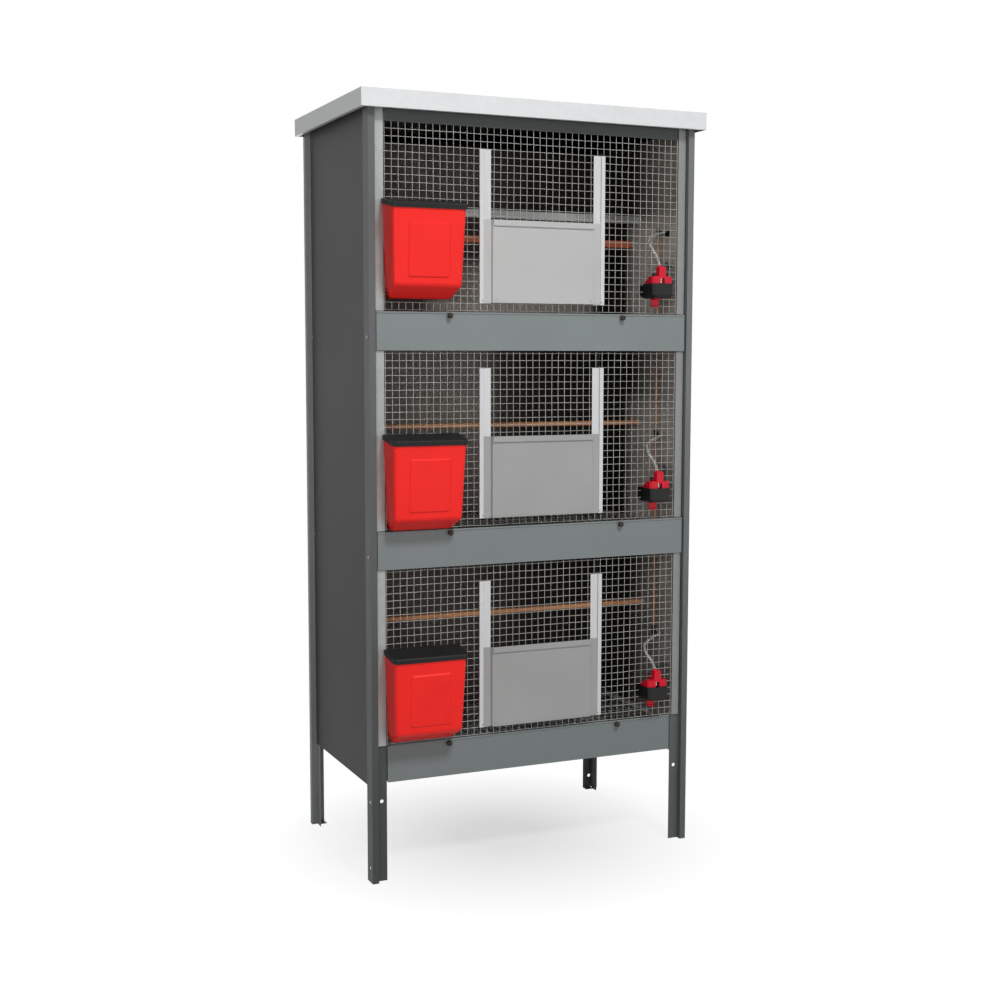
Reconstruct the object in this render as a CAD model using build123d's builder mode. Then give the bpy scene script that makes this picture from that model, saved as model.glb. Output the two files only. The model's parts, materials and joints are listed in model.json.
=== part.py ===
"""Three-tier pigeon cage: folded steel frame, wire fronts, lift-up doors, feeders, drinkers and trays."""
import os
from math import hypot, radians, tan

from build123d import *

os.makedirs("parts", exist_ok=True)

# Driving dimensions, in millimetres. The front faces -Y, the floor is z = 0, the whole is centred over it.
width = 800  # over the outer corners of the posts
depth = 478
post_height = 1727
tiers = ("top", "middle", "bottom")
bottom_sill = 307  # top edge of the lowest tray front
top_tier_less = 14  # the top tier is shorter than the others
tier_pitch = (post_height - bottom_sill + top_tier_less) / len(tiers)
running_gap = 0.3  # between pieces that slide past each other
lay_gap = 0.05  # between wires laid across each other and welded

# Folded posts and sheet walls
post_sheet = 1.5
bead = 15  # flat outer strip of the joggled flange
joggle = 14  # step back from the strip to the flange
flange = 24  # recessed flange, inside the step
plain_flange = 35
panel_sheet = 1.0
panel_bottom = 206
panel_lap = 27  # part of the side panel that lies inside the front post
panel_head = 2  # from the panels' top edge to the post's top
leg_hole = 8.5
leg_hole_low = 32
leg_hole_high = 182
foot_side = 20
foot_thick = 2

# Roof tray
roof_sheet = 1.0
roof_skirt = 39
roof_side = 20
roof_front = 18
roof_back = 2
roof_hem = 10

# Wire front and the strips that hold it
wire = 1.6
mesh_pitch = 16
mesh_margin = 3  # from the sill or the tray front above
strip_width = 19
strip_sheet = 1.2
header_drop = 62  # header's lower edge below the post's top
header_return = 25

# Droppings tray and its runners
tray_front = 84
tray_sheet = 1.0
tray_floor = 80  # from the sill down to the underside of the pan
tray_wall = 38
tray_side_gap = 11  # from the post flange to the pan
tray_back_gap = 16
front_stand = 5  # tray front behind the face of the posts
front_hem = 5
runner_sheet = 1.2
runner_lap = 8  # of the tray on the lower ledge
floor_drop = 20  # from the sill to the ledge under the wire floor
floor_ledge = 24
floor_wire = 2.5
floor_rod = 3
floor_pitch = 20
rod_pitch = 50
knob_radius = 6
knob_length = 12
knob_stem = 4
knob_stem_radius = 3
knob_bevel = 2
knob_spread = 214
knob_drop = 8

# Lift-up door and its rails
door_x = 15
rail_half = 155  # from the door's middle to the rail's outer side
rail_base = 28
rail_lip = 9.5
rail_sheet = 1.0
rail_rise = 20  # from the sill to the rail's foot
rail_head = 143  # what the rail falls short of a tier's height
rail_length = tier_pitch - rail_head
stop_tab = 3
door_sheet = 1.0
door_height = 182
door_step = 6  # the panel stands forward of its edges
door_gap = 0.4
door_lip = 13
door_lip_stand = 3
door_foot = 5
doorway_inset = 14  # the opening in the wire, inside the rails
doorway_rise = 28
doorway_height = 160

# Feeder: hopper outside the wire, trough inside
feeder_inset = 105  # feeder's middle from the left wall
feeder_lift = (28, 2, 8)
hopper_width = 170
hopper_depth = 67
hopper_height = 210  # at the back
rim_fall = 13  # from the back of the rim to its front
hopper_waist = 25  # height where the underside starts to slope back
waist_width = 158
waist_depth = 55
waist_round = 14
sole_width = 142
sole_depth = 6
sole_round = 9
cheek_round = 30  # where the sides turn in below the waist
hopper_wall = 2.5
hopper_corner = 9
boss_width = 98
boss_height = 118
boss_above = 37  # from the front of the rim down to the raised panel
boss_rise = 2
boss_border = 8  # sloped border round the raised panel
boss_round = 6
trough_width = 126
trough_reach = 58
trough_height = 46
trough_round = 10
throat_height = 30
lid_over = 3.5
lid_height = 11
lid_wall = 2
lid_bevel = 1.5
ear_spread = 62
ear_thick = 4
ear_wall = 1.1  # round the peg's hole
ear_neck = 1.5  # from the hinge axis down to the ear's arm
ear_drop = 12
hinge_back = 7  # hinge axis in front of the hopper's back
hinge_barrel = 4
peg_radius = 1.6
peg_gap = 0.05

# Drinker: valve body outside the wire, cup reaching through it
drinker_inset = 82  # drinker's middle from the right wall
drinker_lift = (0, 4, 10)
cup_width = 54
cup_front = 42
cup_back = 20
cup_height = 33
cup_bottom = 38
cup_wall = 3
cup_corner = 5
cup_bevel = 7  # round the bottom
collar_width = 52
collar_depth = 37
collar_height = 16
collar_heel = 4  # height left at the wire, where the sides slope down
collar_wall = 4
collar_notch = 10
block_width = 18
block_depth = 17
block_height = 22
block_round = 2
hook_width = 10
hook_thick = 3
hook_rise = 1.2  # hook's top above the collar
nut_radius = 4.2
nut_height = 10
pin_radius = 2
pin_head_radius = 3.5
pin_head = 3
pin_tip_radius = 3
chamber_radius = 4
chamber_height = 9
chamber_floor = 5
clip_width = 20
clip_drop = 20
clip_reach = 14
clip_lip = 6
clip_thick = 3
bracket_thick = 2.5
bracket_arm = 8
bracket_reach = 34
bracket_rise = 112
star_half_width = 17
star_half_height = 13
star_waist = 5

# Water line
hose_radius = 3
hose_facets = 8
hose_hole = 13  # kept clear in the wire where the hose passes
hose_pass_x = 16  # that place, from the drinker's middle towards the door
hose_pass_z = 23.2  # and below the tee
hose_route = (  # tee to nut: from the right wall, from the post flange's plane, above the sill
    (-29.5, 59, 195),
    (-29.5, 40, 195),
    (-46, 25, 192),
    (-71, 17, 186),
    (-93, 7, 177),
    (-103, -13, 165),
    (-102, -26, 148),
    (-91, -31.75, 131),
    (-86.5, -31.75, 113),
)
hose_follow = (0, 0, 0, 0, 0, 0.25, 0.6, 1, 1)  # share of the drinker's lift that each point takes
riser_inset = 29.5  # riser's axis from the right wall
riser_back = 75  # and behind the post flange
tee_rise = 195
tee_radius = 5
tee_length = 22
tee_branch = 16
branch_radius = 4.2
inlet_nut_radius = 8
inlet_nut = 6
inlet_barb = 6

# Perches and the tie bar of the top tier
perch_back = (20, -18, -43)  # behind the middle of the depth
perch_rise = (179, 218, 249)
perch_height = (18, 11, 11)
perch_width = 20
perch_round = 3
cup_sheet = 1.5
perch_seat = 12
tie_rise = 229
tie_height = 19
tie_sheet = 2
tie_tab = 15

# Clearances of the openings cut in the wire
window_gap = 3
window_head = 6
strip_gap = 1

# Shared places
half_width = width / 2
rim_slope = rim_fall / hopper_depth
rim_stretch = hypot(1, rim_slope)
lid_length = (hopper_depth - hinge_back) * rim_stretch + lid_over
lid_nose = hinge_back + (lid_length + rim_slope * (hinge_barrel - lid_bevel)) / rim_stretch
lid_reach = 2 * wire + lay_gap + strip_sheet + running_gap + lid_nose - joggle
front_y = (lid_reach - depth - roof_back) / 2
back_y = front_y + depth
middle_y = (front_y + back_y) / 2
flange_y = front_y + joggle
wall_x = half_width - joggle
flange_edge = half_width - bead - flange
sills = [bottom_sill + tier_pitch * (len(tiers) - 1 - index) for index in range(len(tiers))]
panel_top = post_height - panel_head
mesh_face = flange_y - 2 * wire - lay_gap
strip_face = mesh_face - strip_sheet
pan_half = flange_edge - tray_side_gap
pan_back = back_y - post_sheet - panel_sheet - tray_back_gap
riser_x = wall_x - riser_inset
riser_y = flange_y + riser_back
drinker_x = wall_x - drinker_inset
feeder_x = feeder_inset - wall_x
header_bottom = post_height - header_drop
tier_tops = [header_bottom + strip_width] + [sill - tray_front for sill in sills[:-1]]
perch_y = [middle_y + back for back in perch_back]


def write(piece, name):
    """Label a finished piece and write it as the node of that name."""
    piece.label = name
    export_step(piece, f"parts/{name}.step")


# Front posts: folded angle whose front flange is joggled back behind an outer strip
with BuildPart() as post_front_left:
    with BuildSketch():
        with BuildLine():
            Polyline(
                (-half_width, front_y + plain_flange),
                (-half_width, front_y),
                (-half_width + bead, front_y),
                (-half_width + bead, flange_y),
                (-flange_edge, flange_y),
            )
            offset(amount=post_sheet, side=Side.LEFT, kind=Kind.INTERSECTION)
        make_face()
    extrude(amount=post_height)
    with BuildSketch(Plane.XZ.offset(-flange_y)):
        with Locations((-half_width + bead + flange / 2, leg_hole_high)):
            Circle(leg_hole / 2)
    extrude(amount=2 * post_sheet, both=True, mode=Mode.SUBTRACT)
    with BuildSketch(Plane.YZ.offset(-half_width)):
        with Locations(
            (front_y + plain_flange / 2, leg_hole_low),
            (front_y + plain_flange / 2, leg_hole_high),
        ):
            Circle(leg_hole / 2)
    extrude(amount=2 * post_sheet, both=True, mode=Mode.SUBTRACT)
write(post_front_left.part, "post_front_left")

with BuildPart() as post_front_right:
    mirror(post_front_left.part, about=Plane.YZ)
write(post_front_right.part, "post_front_right")

# Rear posts: the same fold, turned so that the side flange is the joggled one
with BuildPart() as post_rear_left:
    with BuildSketch():
        with BuildLine():
            Polyline(
                (-half_width + plain_flange, back_y),
                (-half_width, back_y),
                (-half_width, back_y - bead),
                (-wall_x, back_y - bead),
                (-wall_x, back_y - bead - flange),
            )
            offset(amount=post_sheet, side=Side.LEFT, kind=Kind.INTERSECTION)
        make_face()
    extrude(amount=post_height)
    with BuildSketch(Plane.YZ.offset(-wall_x)):
        with Locations(
            (back_y - bead - flange / 2, leg_hole_low),
            (back_y - bead - flange / 2, leg_hole_high),
        ):
            Circle(leg_hole / 2)
    extrude(amount=2 * post_sheet, both=True, mode=Mode.SUBTRACT)
    with BuildSketch(Plane.XZ.offset(-back_y)):
        with Locations(
            (-half_width + plain_flange / 2, leg_hole_low),
            (-half_width + plain_flange / 2, leg_hole_high),
        ):
            Circle(leg_hole / 2)
    extrude(amount=2 * post_sheet, both=True, mode=Mode.SUBTRACT)
write(post_rear_left.part, "post_rear_left")

with BuildPart() as post_rear_right:
    mirror(post_rear_left.part, about=Plane.YZ)
write(post_rear_right.part, "post_rear_right")

# Foot plates: one square plate in the angle of each post, flat on the floor
front_foot = (half_width - post_sheet - foot_side / 2, flange_y + post_sheet + foot_side / 2)
rear_foot = (wall_x - post_sheet - foot_side / 2, back_y - post_sheet - foot_side / 2)
with BuildPart() as foot_plates:
    with BuildSketch():
        for foot_x, foot_y in (front_foot, rear_foot):
            with Locations((-foot_x, foot_y), (foot_x, foot_y)):
                Rectangle(foot_side, foot_side)
    extrude(amount=foot_thick)
write(foot_plates.part, "foot_plates")

# Side panels: sheet on the rear post's recessed flange, joggled out into the front post's lap
inlet_z = sills[0] + tee_rise
panel_step = joggle - post_sheet - panel_sheet
with BuildPart() as side_panel_left:
    with BuildSketch(Plane.XY.offset(panel_bottom)):
        with BuildLine():
            Polyline(
                (-half_width + post_sheet, front_y + plain_flange - panel_lap),
                (-half_width + post_sheet, front_y + plain_flange),
                (-wall_x - panel_sheet, front_y + plain_flange + panel_step),
                (-wall_x - panel_sheet, back_y - bead - running_gap),
            )
            offset(amount=panel_sheet, side=Side.RIGHT, kind=Kind.INTERSECTION)
        make_face()
    extrude(amount=panel_top - panel_bottom)
write(side_panel_left.part, "side_panel_left")

inlet_radius = hose_radius + 1
with BuildPart() as side_panel_right:
    mirror(side_panel_left.part, about=Plane.YZ)
    with BuildSketch(Plane.YZ.offset(wall_x)):
        with Locations((riser_y, inlet_z)):
            Circle(inlet_radius + running_gap)
    extrude(amount=2 * panel_sheet, both=True, mode=Mode.SUBTRACT)
write(side_panel_right.part, "side_panel_right")

# Back panel: plain sheet inside the rear posts' plain flanges
with BuildPart() as back_panel:
    with BuildSketch(Plane.XZ.offset(post_sheet - back_y)):
        with Locations((0, (panel_bottom + panel_top) / 2)):
            Rectangle(2 * (half_width - post_sheet - running_gap), panel_top - panel_bottom)
    extrude(amount=panel_sheet)
write(back_panel.part, "back_panel")

# Roof: folded tray lid with a skirt, hemmed inward at the front and the sides
roof_top = post_height + roof_sheet
roof_width = width + 2 * roof_side
roof_depth = depth + roof_front + roof_back
roof_y = middle_y + (roof_back - roof_front) / 2
with BuildPart() as roof:
    with BuildSketch(Plane.XY.offset(roof_top - roof_skirt)):
        with Locations((0, roof_y)):
            Rectangle(roof_width, roof_depth)
    extrude(amount=roof_skirt)
    offset(amount=-roof_sheet, openings=roof.faces().sort_by(Axis.Z)[0])
    with BuildSketch(Plane.XY.offset(roof_top - roof_skirt)):
        with Locations((0, roof_y)):
            Rectangle(roof_width, roof_depth)
        with Locations((0, roof_y + roof_hem)):
            Rectangle(roof_width - 2 * roof_hem, roof_depth, mode=Mode.SUBTRACT)
    extrude(amount=roof_sheet)
write(roof.part, "roof")

# Header bar: folded angle that closes the front under the roof and holds the top of the wire
header_half = flange_edge - strip_gap
with BuildPart() as header_bar:
    with BuildSketch(Plane.YZ.offset(-header_half)):
        with BuildLine():
            Polyline(
                (strip_face, header_bottom),
                (strip_face, panel_top),
                (strip_face + header_return, panel_top),
            )
            offset(amount=strip_sheet, side=Side.RIGHT, kind=Kind.INTERSECTION)
        make_face()
    extrude(amount=2 * header_half)
write(header_bar.part, "header_bar")

# Clamp strips: flat bars that hold the wire's side edges on the post flanges
strip_x = flange_edge + 2 * strip_gap + strip_width / 2
strip_tops = [panel_top] + [top - strip_gap for top in tier_tops[1:]]
with BuildPart() as clamp_strips:
    for sill, strip_top in zip(sills, strip_tops):
        strip_length = strip_top - sill - strip_gap
        with BuildSketch(Plane.XZ.offset(-mesh_face)):
            with Locations((0, sill + strip_gap + strip_length / 2)):
                with GridLocations(2 * strip_x, strip_length, 2, 1):
                    Rectangle(strip_width, strip_length)
        extrude(amount=strip_sheet)
write(clamp_strips.part, "clamp_strips")

# Wire fronts: cross wires against the flanges, uprights welded on their outside
mesh_width = 2 * (half_width - bead - 2 * window_gap)
uprights = int((mesh_width - wire) // mesh_pitch) + 1
hose_z = tee_rise - hose_pass_z
hose_x = drinker_x - hose_pass_x
for tier, sill, top, feeder_up, drinker_up in zip(tiers, sills, tier_tops, feeder_lift, drinker_lift):
    low = sill + mesh_margin
    mesh_height = top - mesh_margin - low
    cross_wires = int((mesh_height - wire) // mesh_pitch) + 1
    with BuildPart() as front_mesh:
        with BuildSketch(Plane.XZ.offset(-flange_y)):
            with Locations((0, low + wire / 2 + (cross_wires - 1) * mesh_pitch / 2)):
                with GridLocations(mesh_pitch, mesh_pitch, 1, cross_wires):
                    Rectangle(mesh_width, wire)
        extrude(amount=wire)
        with BuildSketch(Plane.XZ.offset(wire + lay_gap - flange_y)):
            with Locations((0, low + mesh_height / 2)):
                with GridLocations(mesh_pitch, mesh_pitch, uprights, 1):
                    Rectangle(wire, mesh_height)
        extrude(amount=wire)
        with BuildSketch(Plane.XZ.offset(-flange_y)):
            with Locations((door_x, sill + doorway_rise + doorway_height / 2)):
                Rectangle(2 * (rail_half - rail_base) - doorway_inset, doorway_height)
            trough_hole = trough_height + window_gap + window_head
            with Locations((feeder_x, sill + feeder_up - window_gap + trough_hole / 2)):
                Rectangle(trough_width + 2 * window_gap, trough_hole)
            cup_rim = sill + drinker_up + cup_bottom + cup_height
            with Locations((drinker_x, cup_rim - cup_height / 2)):
                Rectangle(cup_width + 2 * strip_gap, cup_height + 2 * strip_gap)
            with Locations((drinker_x, cup_rim + collar_height + hook_rise - hook_thick / 2)):
                Rectangle(hook_width + 2 * running_gap, hook_thick + 2 * running_gap)
            with Locations((hose_x, sill + hose_z)):
                Rectangle(hose_hole, hose_hole)
        extrude(amount=3 * wire, both=True, mode=Mode.SUBTRACT)
    write(front_mesh.part, f"front_mesh_{tier}")

# Tray runners: folded channels on the side panels; the tray runs on the lower ledge
runner_front = flange_y + post_sheet + running_gap
runner_back = back_y - bead - flange - running_gap
with BuildPart() as tray_runners_left:
    for sill in sills:
        low_ledge = sill - tray_floor - running_gap - runner_sheet
        with BuildSketch(Plane.XZ.offset(-runner_back)):
            with BuildLine():
                Polyline(
                    (-pan_half + runner_lap, low_ledge),
                    (-wall_x, low_ledge),
                    (-wall_x, sill - floor_drop),
                    (-wall_x + floor_ledge, sill - floor_drop),
                )
                offset(amount=runner_sheet, side=Side.RIGHT, kind=Kind.INTERSECTION)
            make_face()
        extrude(amount=runner_back - runner_front)
write(tray_runners_left.part, "tray_runners_left")

with BuildPart() as tray_runners_right:
    mirror(tray_runners_left.part, about=Plane.YZ)
    with BuildSketch(Plane.XY.offset(bottom_sill)):
        with Locations((riser_x, riser_y)):
            Circle(hose_radius + window_gap / 2)
    extrude(amount=post_height - bottom_sill, mode=Mode.SUBTRACT)
write(tray_runners_right.part, "tray_runners_right")

# Wire floors: rods across the ledges, wires laid over them from front to back
floor_half = wall_x - floor_ledge + runner_lap
floor_front = flange_y + window_gap
floor_back = back_y - post_sheet - panel_sheet - window_gap
floor_length = floor_back - floor_front
floor_wires = int((2 * floor_half - floor_wire) // floor_pitch)
floor_rods = int((floor_length - floor_rod) // rod_pitch) + 1
for tier, sill in zip(tiers, sills):
    with BuildPart() as wire_floor:
        with BuildSketch(Plane.XY.offset(sill - floor_drop)):
            with Locations((0, (floor_front + floor_back) / 2)):
                with GridLocations(rod_pitch, rod_pitch, 1, floor_rods):
                    Rectangle(2 * floor_half, floor_rod)
        extrude(amount=floor_rod)
        with BuildSketch(Plane.XY.offset(sill - floor_drop + floor_rod + lay_gap)):
            with Locations((0, (floor_front + floor_back) / 2)):
                with GridLocations(floor_pitch, floor_pitch, floor_wires, 1):
                    Rectangle(floor_wire, floor_length)
        extrude(amount=floor_wire)
        if tier != tiers[-1]:
            with BuildSketch(Plane.XY.offset(sill - floor_drop - window_gap)):
                with Locations((riser_x, riser_y)):
                    Rectangle(2 * hose_radius + window_gap, 2 * hose_radius + window_gap)
            extrude(amount=floor_rod + floor_wire + 2 * window_gap, mode=Mode.SUBTRACT)
    write(wire_floor.part, f"wire_floor_{tier}")

# Droppings trays: shallow pan folded in one with its tall front, which ends in a rolled edge
wide_front = half_width - bead - window_gap
narrow_front = flange_edge - 2 * strip_gap
front_halves = (wide_front, wide_front, narrow_front)
front_faces = (front_y + front_stand, front_y + front_stand, flange_y)
for tier, sill, front_half, face in zip(tiers, sills, front_halves, front_faces):
    with BuildPart() as tray:
        with BuildSketch(Plane.XY.offset(sill - tray_floor)):
            with Locations((0, (face + pan_back) / 2)):
                Rectangle(2 * pan_half, pan_back - face)
        extrude(amount=tray_wall)
        offset(amount=-tray_sheet, openings=tray.faces().sort_by(Axis.Z)[-1])
        with BuildSketch(Plane.XZ.offset(-face - tray_sheet)):
            with Locations((0, sill - tray_front / 2)):
                Rectangle(2 * front_half, tray_front)
        extrude(amount=tray_sheet)
        with BuildSketch(Plane.YZ.offset(-front_half)):
            with Locations((face + tray_sheet, sill - front_hem / 2)):
                Circle(front_hem / 2)
        extrude(amount=2 * front_half)
    write(tray.part, f"tray_{tier}")

    with BuildPart() as tray_knobs:
        with BuildSketch(Plane.XZ.offset(-face)):
            with Locations((-knob_spread, sill - knob_drop), (knob_spread, sill - knob_drop)):
                Circle(knob_stem_radius)
        extrude(amount=knob_stem)
        with BuildSketch(Plane.XZ.offset(knob_stem - face)):
            with Locations((-knob_spread, sill - knob_drop), (knob_spread, sill - knob_drop)):
                Circle(knob_radius)
        extrude(amount=knob_length - knob_stem)
        chamfer(tray_knobs.faces().sort_by(Axis.Y)[:2].edges(), length=knob_bevel)
    write(tray_knobs.part, f"tray_knobs_{tier}")

# Door rails: a pair of folded channels on the wire, each with a stop tab at its foot
channel = door_sheet + 2 * door_gap
lip_face = mesh_face - 2 * rail_sheet - channel
rail_out = door_x - rail_half
for tier, sill in zip(tiers, sills):
    with BuildPart() as door_rails:
        with BuildSketch(Plane.XY.offset(sill + rail_rise)):
            with BuildLine():
                Polyline(
                    (rail_out + rail_base, mesh_face),
                    (rail_out, mesh_face),
                    (rail_out, lip_face),
                    (rail_out + rail_lip, lip_face),
                )
                offset(amount=rail_sheet, side=Side.LEFT, kind=Kind.INTERSECTION)
            make_face()
        extrude(amount=rail_length)
        with BuildSketch(Plane.XY.offset(sill + rail_rise)):
            with Locations((rail_out + (rail_lip + stop_tab) / 2, (mesh_face + lip_face) / 2)):
                Rectangle(rail_lip + stop_tab, mesh_face - lip_face)
        extrude(amount=rail_sheet)
        mirror(about=Plane.YZ.offset(door_x))
    write(door_rails.part, f"door_rails_{tier}")

# Lift-up doors: pressed sheet with edges that run in the rails, a lifting lip and a folded foot
door_back = mesh_face - rail_sheet - door_gap
door_half = rail_half - rail_sheet - door_gap
panel_half = rail_half - rail_base - door_gap
fold_half = panel_half - door_step / 3
panel_face = door_back - door_step - door_sheet
for tier, sill in zip(tiers, sills):
    door_low = sill + rail_rise + rail_sheet + running_gap
    door_high = door_low + door_height
    with BuildPart() as door:
        with BuildSketch(Plane.XY.offset(door_low)):
            with BuildLine():
                Polyline(
                    (door_x - door_half, door_back),
                    (door_x - panel_half, door_back),
                    (door_x - fold_half, door_back - door_step),
                    (door_x + fold_half, door_back - door_step),
                    (door_x + panel_half, door_back),
                    (door_x + door_half, door_back),
                )
                offset(amount=door_sheet, side=Side.RIGHT, kind=Kind.INTERSECTION)
            make_face()
        extrude(amount=door_height)
        with BuildSketch(Plane.YZ.offset(door_x - fold_half)):
            with BuildLine():
                Polyline(
                    (panel_face + door_sheet, door_high),
                    (panel_face - door_lip_stand, door_high),
                    (panel_face - door_lip_stand, door_high - door_lip),
                )
                offset(amount=door_sheet, side=Side.LEFT, kind=Kind.INTERSECTION)
            make_face()
            with Locations((panel_face + (door_sheet - door_foot) / 2, door_low + door_sheet / 2)):
                Rectangle(door_foot + door_sheet, door_sheet)
        extrude(amount=2 * fold_half)
    write(door.part, f"door_{tier}")

# Feeder hoppers: leaning bin outside the wire, its floor sloped back to a throat and the trough inside
hopper_back = strip_face - running_gap
trough_end = flange_y + trough_reach
hinge_y = hopper_back - hinge_back
hinge_below = (hinge_barrel - lid_wall - running_gap) * rim_stretch  # from the rim's plane
hinge_rise = hopper_height - rim_slope * hinge_back - hinge_below  # from the sole
ear_radius = peg_radius + ear_wall
face_run = hopper_height - rim_fall - hopper_waist
lean = hopper_depth - waist_depth
for tier, sill, feeder_up in zip(tiers, sills, feeder_lift):
    sole = sill + feeder_up
    waist = sole + hopper_waist
    rim = sole + hopper_height
    hinge_z = sole + hinge_rise
    boss_middle = boss_above + boss_height / 2
    boss_y = hopper_back - hopper_depth + lean * boss_middle / face_run
    boss_plane = Plane(
        origin=(feeder_x, boss_y, rim - rim_fall - boss_middle),
        x_dir=(1, 0, 0),
        z_dir=(0, -face_run, -lean),
    )
    with BuildPart() as feeder_hopper:
        with BuildSketch(Plane.YZ.offset(feeder_x - hopper_width / 2)) as side_view:
            Polygon(
                (hopper_back, sole),
                (hopper_back, rim),
                (hopper_back - hopper_depth, rim - rim_fall),
                (hopper_back - waist_depth, waist),
                (hopper_back - sole_depth, sole),
                align=None,
            )
            fillet(side_view.vertices().sort_by(Axis.X)[1], waist_round)
        extrude(amount=hopper_width)
        with BuildSketch(Plane.XZ.offset(-hopper_back)) as front_view:
            Polygon(
                (feeder_x - sole_width / 2, sole),
                (feeder_x - waist_width / 2, waist),
                (feeder_x - hopper_width / 2, rim),
                (feeder_x + hopper_width / 2, rim),
                (feeder_x + waist_width / 2, waist),
                (feeder_x + sole_width / 2, sole),
                align=None,
            )
            fillet(front_view.vertices().group_by(Axis.Y)[0], sole_round)
            fillet(front_view.vertices().group_by(Axis.Y)[-2], cheek_round)
        extrude(amount=2 * hopper_depth, mode=Mode.INTERSECT)
        corners = feeder_hopper.edges().filter_by(Axis.X, reverse=True)
        fillet(
            corners.filter_by(lambda edge: edge.bounding_box().max.Y < hopper_back - sole_depth / 2),
            radius=hopper_corner,
        )
        offset(amount=-hopper_wall, openings=feeder_hopper.faces().sort_by(Axis.Z)[-1])
        with BuildSketch(boss_plane):
            RectangleRounded(boss_width, boss_height, boss_round)
        with BuildSketch(boss_plane.offset(boss_rise)):
            RectangleRounded(boss_width - 2 * boss_border, boss_height - 2 * boss_border, boss_round / 2)
        loft()
        with BuildSketch(Plane.YZ.offset(feeder_x - trough_width / 2)) as trough_outside:
            with Locations((trough_end, sole)):
                Rectangle(
                    trough_end - hopper_back + hopper_wall / 2,
                    trough_height,
                    align=(Align.MAX, Align.MIN),
                )
            fillet(trough_outside.vertices().group_by(Axis.X)[-1].sort_by(Axis.Y)[0], trough_round)
        extrude(amount=trough_width)
        with BuildSketch(Plane.YZ.offset(feeder_x - trough_width / 2 + hopper_wall)) as trough_inside:
            with Locations((trough_end - hopper_wall, sole + hopper_wall)):
                Rectangle(
                    trough_end - hopper_wall - hopper_back,
                    trough_height,
                    align=(Align.MAX, Align.MIN),
                )
            trough_corner = trough_inside.vertices().group_by(Axis.X)[-1].sort_by(Axis.Y)[0]
            fillet(trough_corner, trough_round - hopper_wall)
            with Locations((hopper_back, sole + hopper_wall)):
                Rectangle(4 * hopper_wall, throat_height, align=(Align.CENTER, Align.MIN))
        extrude(amount=trough_width - 2 * hopper_wall, mode=Mode.SUBTRACT)
        with BuildSketch(Plane.YZ.offset(feeder_x - hopper_width / 2)):
            with Locations((hopper_back, hinge_z - hinge_barrel - running_gap)):
                Rectangle(
                    2 * (hinge_back + hinge_barrel + running_gap),
                    2 * hinge_barrel + hinge_back,
                    align=(Align.CENTER, Align.MIN),
                )
        extrude(amount=hopper_width, mode=Mode.SUBTRACT)
        for ear_x in (feeder_x - ear_spread - ear_thick, feeder_x + ear_spread):
            with BuildSketch(Plane.YZ.offset(ear_x)):
                with Locations((hinge_y, hinge_z)):
                    Circle(ear_radius)
                with Locations((hopper_back, hinge_z - ear_neck)):
                    Rectangle(hinge_back + ear_radius, ear_drop, align=(Align.MAX, Align.MAX))
                with Locations((hinge_y, hinge_z)):
                    Circle(peg_radius + peg_gap, mode=Mode.SUBTRACT)
            extrude(amount=ear_thick)
    write(feeder_hopper.part, f"feeder_hopper_{tier}")

# Feeder lids: shallow cap on the sloped rim, its rear edge a hinge barrel slotted over the hopper's ears
lid_half = hopper_width / 2 + lid_over
for tier, sill, feeder_up in zip(tiers, sills, feeder_lift):
    hinge_z = sill + feeder_up + hinge_rise
    lid_plane = Plane(
        origin=(feeder_x, hinge_y, hinge_z),
        x_dir=(1, 0, 0),
        z_dir=(0, -rim_fall, hopper_depth),
    )
    with BuildPart() as feeder_lid:
        with BuildSketch(lid_plane.offset(hinge_barrel - lid_height)) as lid_outline:
            with Locations((0, -lid_length / 2)):
                Rectangle(2 * lid_half, lid_length)
            fillet(lid_outline.vertices().group_by(Axis.Y)[0], hopper_corner + lid_over)
        extrude(amount=lid_height)
        lid_top = feeder_lid.faces().sort_by(Axis(lid_plane.origin, lid_plane.z_dir))[-1]
        chamfer(lid_top.edges().sort_by(Axis.Y)[:-1], length=lid_bevel)
        with BuildSketch(lid_plane.offset(hinge_barrel - lid_height)) as lid_inside:
            with Locations((0, (lid_wall - lid_length) / 2)):
                Rectangle(2 * (lid_half - lid_wall), lid_length - lid_wall)
            fillet(lid_inside.vertices().group_by(Axis.Y)[0], hopper_corner + lid_over - lid_wall)
        extrude(amount=lid_height - lid_wall, mode=Mode.SUBTRACT)
        with BuildSketch(Plane.YZ.offset(feeder_x - lid_half)):
            with Locations((hinge_y, hinge_z)):
                Circle(hinge_barrel)
        extrude(amount=2 * lid_half)
        for ear_x in (feeder_x - ear_spread - ear_thick, feeder_x + ear_spread):
            with BuildSketch(Plane.YZ.offset(ear_x - running_gap)):
                with Locations((hinge_y, hinge_z)):
                    Circle(ear_radius + running_gap)
                    Rectangle(4 * hinge_barrel, 2 * hinge_barrel, align=(Align.CENTER, Align.MAX))
                    Rectangle(2 * hinge_barrel, 2 * hinge_barrel, align=(Align.MIN, Align.MIN))
            extrude(amount=ear_thick + 2 * running_gap, mode=Mode.SUBTRACT)
        with BuildSketch(Plane.YZ.offset(feeder_x - lid_half)):
            with Locations((hinge_y, hinge_z)):
                Circle(peg_radius)
        extrude(amount=2 * lid_half)
    write(feeder_lid.part, f"feeder_lid_{tier}")

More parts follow.
